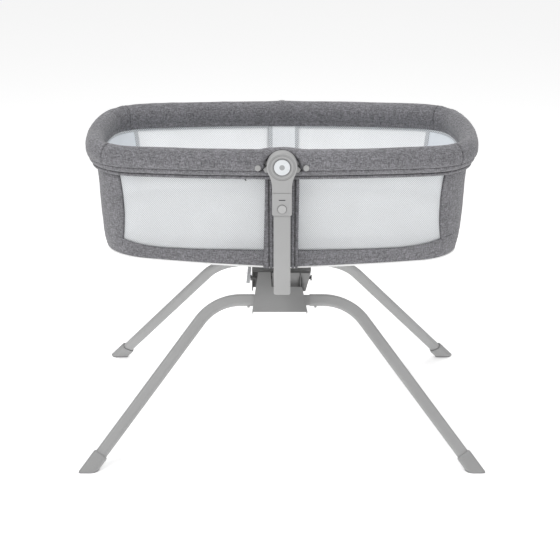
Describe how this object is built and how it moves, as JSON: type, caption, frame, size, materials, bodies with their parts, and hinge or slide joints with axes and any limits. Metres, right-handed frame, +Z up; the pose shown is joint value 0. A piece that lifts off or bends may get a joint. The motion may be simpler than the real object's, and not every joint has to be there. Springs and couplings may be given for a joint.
{
  "type": "bassinet on stand",
  "caption": "Oval fabric bassinet with mesh windows, hung by two side hubs on posts that rise from a folding stand with splayed tube legs.",
  "frame": {"origin": "on the floor under the middle of the object's bounding box", "axes": "+X along the basket's length, -Y to the front, +Z up"},
  "size_m": [0.9528, 0.7332, 0.751],
  "materials": {
    "melange_fabric": "heather grey melange weave",
    "lining": "pale grey quilted lining",
    "board": "stiff board",
    "boot_plastic": "satin moulded grey",
    "webbing": "woven polypropylene webbing",
    "black_plastic": "matte moulded black",
    "badge_white": "satin white",
    "grey_paint": "satin powder coat, warm grey",
    "steel": "zinc plated",
    "grey_plastic": "fine satin moulded grey"
  },
  "bodies": {
    "stand": {"housing": "grey_paint", "hinge_axles": "steel", "cross_beam": "grey_paint", "beam_bolts": "steel", "storage_strap": "webbing", "strap_hook": "black_plastic", "front_post": "grey_paint", "front_post_foot": "grey_plastic", "front_collar": "grey_plastic", "front_button_spring": "steel", "rear_post": "grey_paint", "rear_post_foot": "grey_plastic", "rear_collar": "grey_plastic", "rear_button_spring": "steel"},
    "front_leg_frame": {"front_base_shell": "grey_paint", "front_stub_tube": "steel", "front_snap_springs": "steel", "front_left_leg": "grey_paint", "front_left_boot": "boot_plastic", "front_right_leg": "grey_paint", "front_right_boot": "boot_plastic"},
    "rear_leg_frame": {"rear_base_shell": "grey_paint", "rear_stub_tube": "steel", "rear_snap_springs": "steel", "rear_left_leg": "grey_paint", "rear_left_boot": "boot_plastic", "rear_right_leg": "grey_paint", "rear_right_boot": "boot_plastic"},
    "front_left_pin": {"front_left_snap_pin": "steel"},
    "front_right_pin": {"front_right_snap_pin": "steel"},
    "rear_left_pin": {"rear_left_snap_pin": "steel"},
    "rear_right_pin": {"rear_right_snap_pin": "steel"},
    "front_release": {"front_button": "grey_plastic"},
    "rear_release": {"rear_button": "grey_plastic"},
    "hub_arms": {"front_hub_arm": "grey_plastic", "rear_hub_arm": "grey_plastic", "badges": "badge_white"},
    "cradle": {"front_hub_plate": "grey_plastic", "rear_hub_plate": "grey_plastic", "swing_pins": "steel", "front_centre_panel": "melange_fabric", "rear_centre_panel": "melange_fabric"},
    "rim_left": {"left_rim_tube": "steel", "left_rim_roll": "melange_fabric", "left_wall": "melange_fabric", "left_rim_brackets": "grey_plastic", "left_snap_caps": "grey_plastic", "zip_pull": "black_plastic"},
    "floor_left": {"left_floor_cover": "melange_fabric", "left_floor_board": "board", "left_mattress": "lining"},
    "rim_right": {"right_rim_tube": "steel", "right_rim_roll": "melange_fabric", "right_wall": "melange_fabric", "right_rim_brackets": "grey_plastic", "right_snap_caps": "grey_plastic"},
    "floor_right": {"right_floor_cover": "melange_fabric", "right_floor_board": "board", "right_mattress": "lining"}
  },
  "joints": [
    {"name": "front_leg_fold", "type": "hinge", "parent": "stand", "child": "front_leg_frame", "pos_m": [0, -0.115, 0.395], "axis": [1, 0, 0], "range_deg": [0, 36]},
    {"name": "rear_leg_fold", "type": "hinge", "parent": "stand", "child": "rear_leg_frame", "pos_m": [0, 0.115, 0.395], "axis": [-1, 0, 0], "range_deg": [0, 36]},
    {"name": "front_left_pin_press", "type": "slide", "parent": "front_leg_frame", "child": "front_left_pin", "axis": [0, 0.517, 0.856], "range_m": [0, 0.0035], "stiffness_N_per_m": 400},
    {"name": "front_right_pin_press", "type": "slide", "parent": "front_leg_frame", "child": "front_right_pin", "axis": [0, 0.517, 0.856], "range_m": [0, 0.0035], "stiffness_N_per_m": 400},
    {"name": "rear_left_pin_press", "type": "slide", "parent": "rear_leg_frame", "child": "rear_left_pin", "axis": [0, -0.517, 0.856], "range_m": [0, 0.0035], "stiffness_N_per_m": 400},
    {"name": "rear_right_pin_press", "type": "slide", "parent": "rear_leg_frame", "child": "rear_right_pin", "axis": [0, -0.517, 0.856], "range_m": [0, 0.0035], "stiffness_N_per_m": 400},
    {"name": "front_release_press", "type": "slide", "parent": "stand", "child": "front_release", "axis": [0, 1, 0], "range_m": [0, 0.0024], "stiffness_N_per_m": 400, "deforming": ["front_button_spring"]},
    {"name": "rear_release_press", "type": "slide", "parent": "stand", "child": "rear_release", "axis": [0, -1, 0], "range_m": [0, 0.0024], "stiffness_N_per_m": 400, "deforming": ["rear_button_spring"]},
    {"name": "basket_lift", "type": "slide", "parent": "stand", "child": "hub_arms", "axis": [0, 0, 1], "range_m": [0, 0.12]},
    {"name": "basket_rock", "type": "hinge", "parent": "hub_arms", "child": "cradle", "pos_m": [0, 0, 0.717], "axis": [0, 1, 0], "range_deg": [-8, 8]},
    {"name": "left_rim_fold", "type": "hinge", "parent": "cradle", "child": "rim_left", "pos_m": [-0.03, 0, 0.717], "axis": [0, 1, 0], "range_deg": [0, 88], "deforming": ["left_wall", "front_centre_panel", "rear_centre_panel"]},
    {"name": "right_rim_fold", "type": "hinge", "parent": "cradle", "child": "rim_right", "pos_m": [0.03, 0, 0.717], "axis": [0, -1, 0], "range_deg": [0, 88], "deforming": ["right_wall"]},
    {"name": "left_floor_fold", "type": "hinge", "parent": "cradle", "child": "floor_left", "pos_m": [-0.0065, 0, 0.5175], "axis": [0, 1, 0], "range_deg": [0, 88]},
    {"name": "right_floor_fold", "type": "hinge", "parent": "cradle", "child": "floor_right", "pos_m": [0.0065, 0, 0.5175], "axis": [0, -1, 0], "range_deg": [0, 88]}
  ],
  "couplings": [
    {"joint": "left_floor_fold", "follows": "left_rim_fold", "ratio": 1},
    {"joint": "right_floor_fold", "follows": "right_rim_fold", "ratio": 1}
  ]
}
